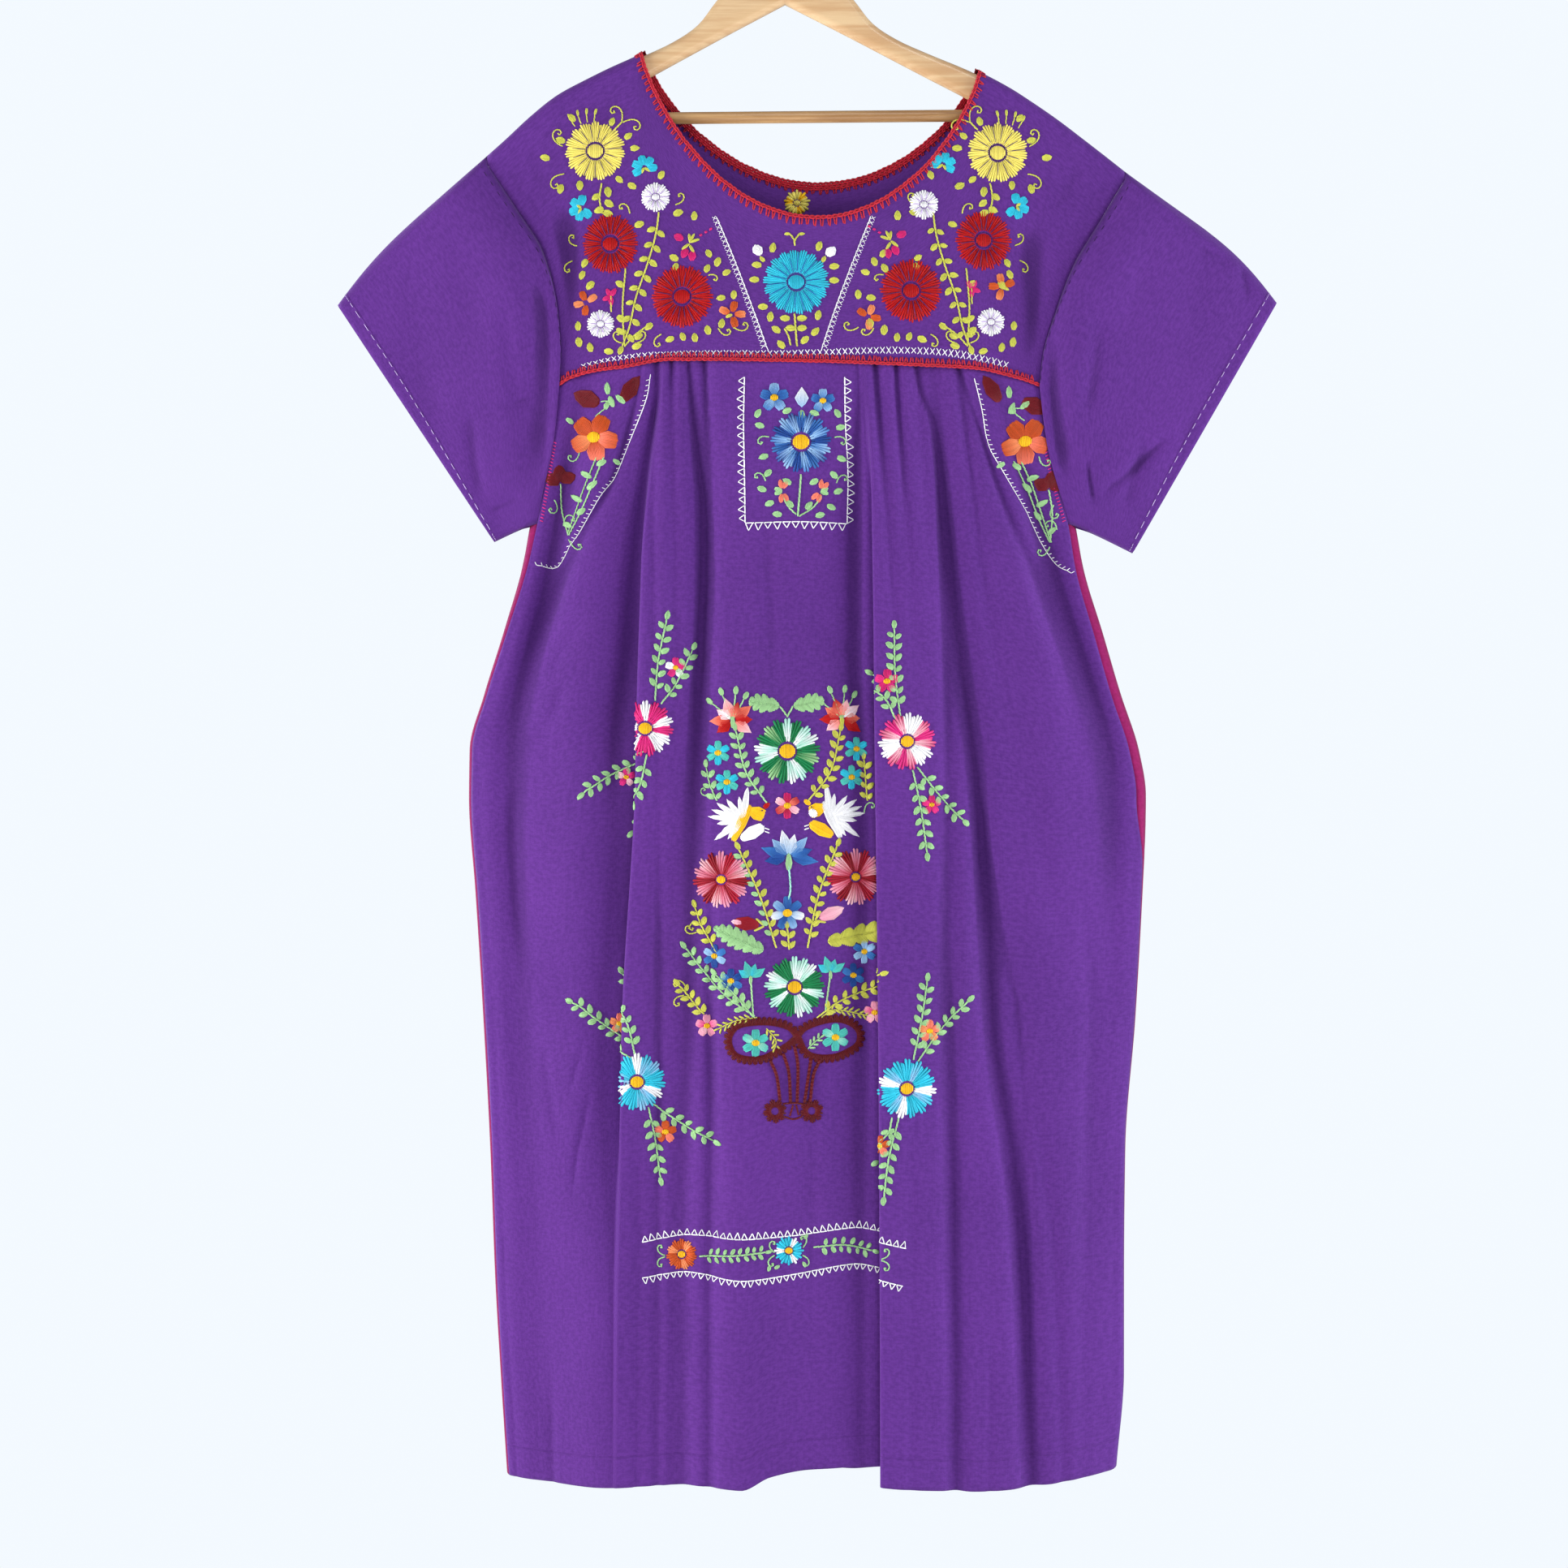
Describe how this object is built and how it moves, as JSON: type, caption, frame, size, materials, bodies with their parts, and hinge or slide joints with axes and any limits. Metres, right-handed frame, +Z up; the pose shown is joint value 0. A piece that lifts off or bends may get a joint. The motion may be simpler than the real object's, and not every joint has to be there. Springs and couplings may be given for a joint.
{
  "type": "mexican embroidered dress on a wooden hanger",
  "caption": "Short-sleeved cotton dress with a round neck, flower embroidery, a yoke and a pleated skirt, hanging on a wooden clothes hanger.",
  "frame": {"origin": "inside top of the hanger's hook, where a peg or a rail carries it", "axes": "+Z up, +X to the viewer's right as seen from the front, the dress's front faces -Y"},
  "size_m": [0.7526, 0.0725, 1.2876],
  "materials": {
    "cloth": "plain-weave purple cotton with satin-stitch embroidery",
    "side_strip": "plain-weave magenta cotton",
    "crochet": "red mercerised cotton crochet",
    "hanger_wood": "clear-varnished beech",
    "rail_wood": "brown-stained dowel",
    "hook_wire": "plated steel wire"
  },
  "bodies": {
    "root": {"yoke_front": "cloth", "yoke_back": "cloth", "skirt_front": "cloth", "skirt_back": "cloth", "sleeve_left": "cloth", "sleeve_right": "cloth", "side_strip_left": "side_strip", "side_strip_right": "side_strip", "neck_edging": "crochet", "yoke_edging_front": "crochet", "yoke_edging_back": "crochet", "hanger_arms": "hanger_wood", "hanger_rail": "rail_wood", "hanger_hook": "hook_wire"}
  },
  "joints": []
}
